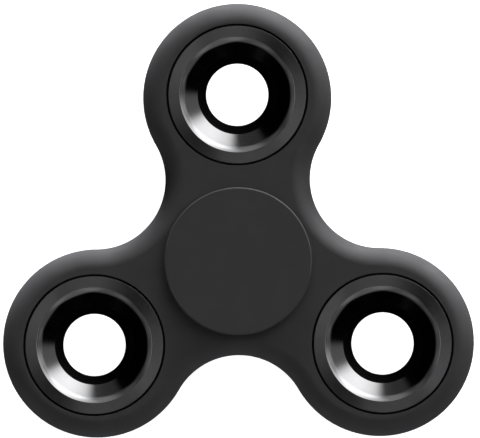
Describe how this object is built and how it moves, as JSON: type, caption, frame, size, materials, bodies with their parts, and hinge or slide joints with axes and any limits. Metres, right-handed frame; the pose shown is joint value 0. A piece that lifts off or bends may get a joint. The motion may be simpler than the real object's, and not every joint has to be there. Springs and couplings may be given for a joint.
{
  "type": "fidget spinner",
  "caption": "Flat lobed hand spinner: a body with a counterweight ring in each lobe turns freely on a central ball bearing between round finger caps.",
  "frame": {"origin": "centre of the rear cap's flat outer face, which the spinner rests on", "axes": "+Z along the spin axis from the rear cap to the front cap; +Y towards the lobe that holds weight_ring_1; +X across the other lobes' width"},
  "size_m": [0.075, 0.069, 0.012],
  "materials": {
    "body_plastic": "fine-textured matte black moulding",
    "cap_plastic": "satin black moulding with a small rim chamfer",
    "weight_steel": "black nickel, turned satin land and polished flare",
    "race_steel": "ground bearing steel",
    "ball_steel": "polished bearing steel",
    "cage_steel": "pressed steel strip",
    "shield_steel": "zinc-plated pressed steel",
    "spring_wire": "drawn spring wire"
  },
  "bodies": {
    "hub": {"front_cap": "cap_plastic", "rear_cap": "cap_plastic", "bearing_inner_race": "race_steel"},
    "spinner": {"spinner_body": "body_plastic", "weight_ring_1": "weight_steel", "weight_ring_2": "weight_steel", "weight_ring_3": "weight_steel", "bearing_outer_race": "race_steel", "bearing_shield_front": "shield_steel", "bearing_shield_rear": "shield_steel", "snap_ring_front": "spring_wire", "snap_ring_rear": "spring_wire"},
    "ball_cage": {"ball_cage_front": "cage_steel", "ball_cage_rear": "cage_steel"},
    "ball_1": {"bearing_ball_1": "ball_steel"},
    "ball_2": {"bearing_ball_2": "ball_steel"},
    "ball_3": {"bearing_ball_3": "ball_steel"},
    "ball_4": {"bearing_ball_4": "ball_steel"},
    "ball_5": {"bearing_ball_5": "ball_steel"},
    "ball_6": {"bearing_ball_6": "ball_steel"},
    "ball_7": {"bearing_ball_7": "ball_steel"}
  },
  "joints": [
    {"name": "body_spin", "type": "hinge", "parent": "hub", "child": "spinner", "pos_m": [0, 0, 0.006], "axis": [0, 0, 1], "continuous": true},
    {"name": "cage_orbit", "type": "hinge", "parent": "hub", "child": "ball_cage", "pos_m": [0, 0, 0.006], "axis": [0, 0, 1], "continuous": true},
    {"name": "ball_1_roll", "type": "hinge", "parent": "ball_cage", "child": "ball_1", "pos_m": [0.0075, 0, 0.006], "axis": [0, 0, 1], "continuous": true},
    {"name": "ball_2_roll", "type": "hinge", "parent": "ball_cage", "child": "ball_2", "pos_m": [0.00468, 0.00586, 0.006], "axis": [0, 0, 1], "continuous": true},
    {"name": "ball_3_roll", "type": "hinge", "parent": "ball_cage", "child": "ball_3", "pos_m": [-0.00167, 0.00731, 0.006], "axis": [0, 0, 1], "continuous": true},
    {"name": "ball_4_roll", "type": "hinge", "parent": "ball_cage", "child": "ball_4", "pos_m": [-0.00676, 0.00325, 0.006], "axis": [0, 0, 1], "continuous": true},
    {"name": "ball_5_roll", "type": "hinge", "parent": "ball_cage", "child": "ball_5", "pos_m": [-0.00676, -0.00325, 0.006], "axis": [0, 0, 1], "continuous": true},
    {"name": "ball_6_roll", "type": "hinge", "parent": "ball_cage", "child": "ball_6", "pos_m": [-0.00167, -0.00731, 0.006], "axis": [0, 0, 1], "continuous": true},
    {"name": "ball_7_roll", "type": "hinge", "parent": "ball_cage", "child": "ball_7", "pos_m": [0.00468, -0.00586, 0.006], "axis": [0, 0, 1], "continuous": true}
  ],
  "couplings": [
    {"joint": "cage_orbit", "follows": "body_spin", "ratio": 0.6323},
    {"joint": "ball_1_roll", "follows": "body_spin", "ratio": 1.7573},
    {"joint": "ball_2_roll", "follows": "body_spin", "ratio": 1.7573},
    {"joint": "ball_3_roll", "follows": "body_spin", "ratio": 1.7573},
    {"joint": "ball_4_roll", "follows": "body_spin", "ratio": 1.7573},
    {"joint": "ball_5_roll", "follows": "body_spin", "ratio": 1.7573},
    {"joint": "ball_6_roll", "follows": "body_spin", "ratio": 1.7573},
    {"joint": "ball_7_roll", "follows": "body_spin", "ratio": 1.7573}
  ]
}
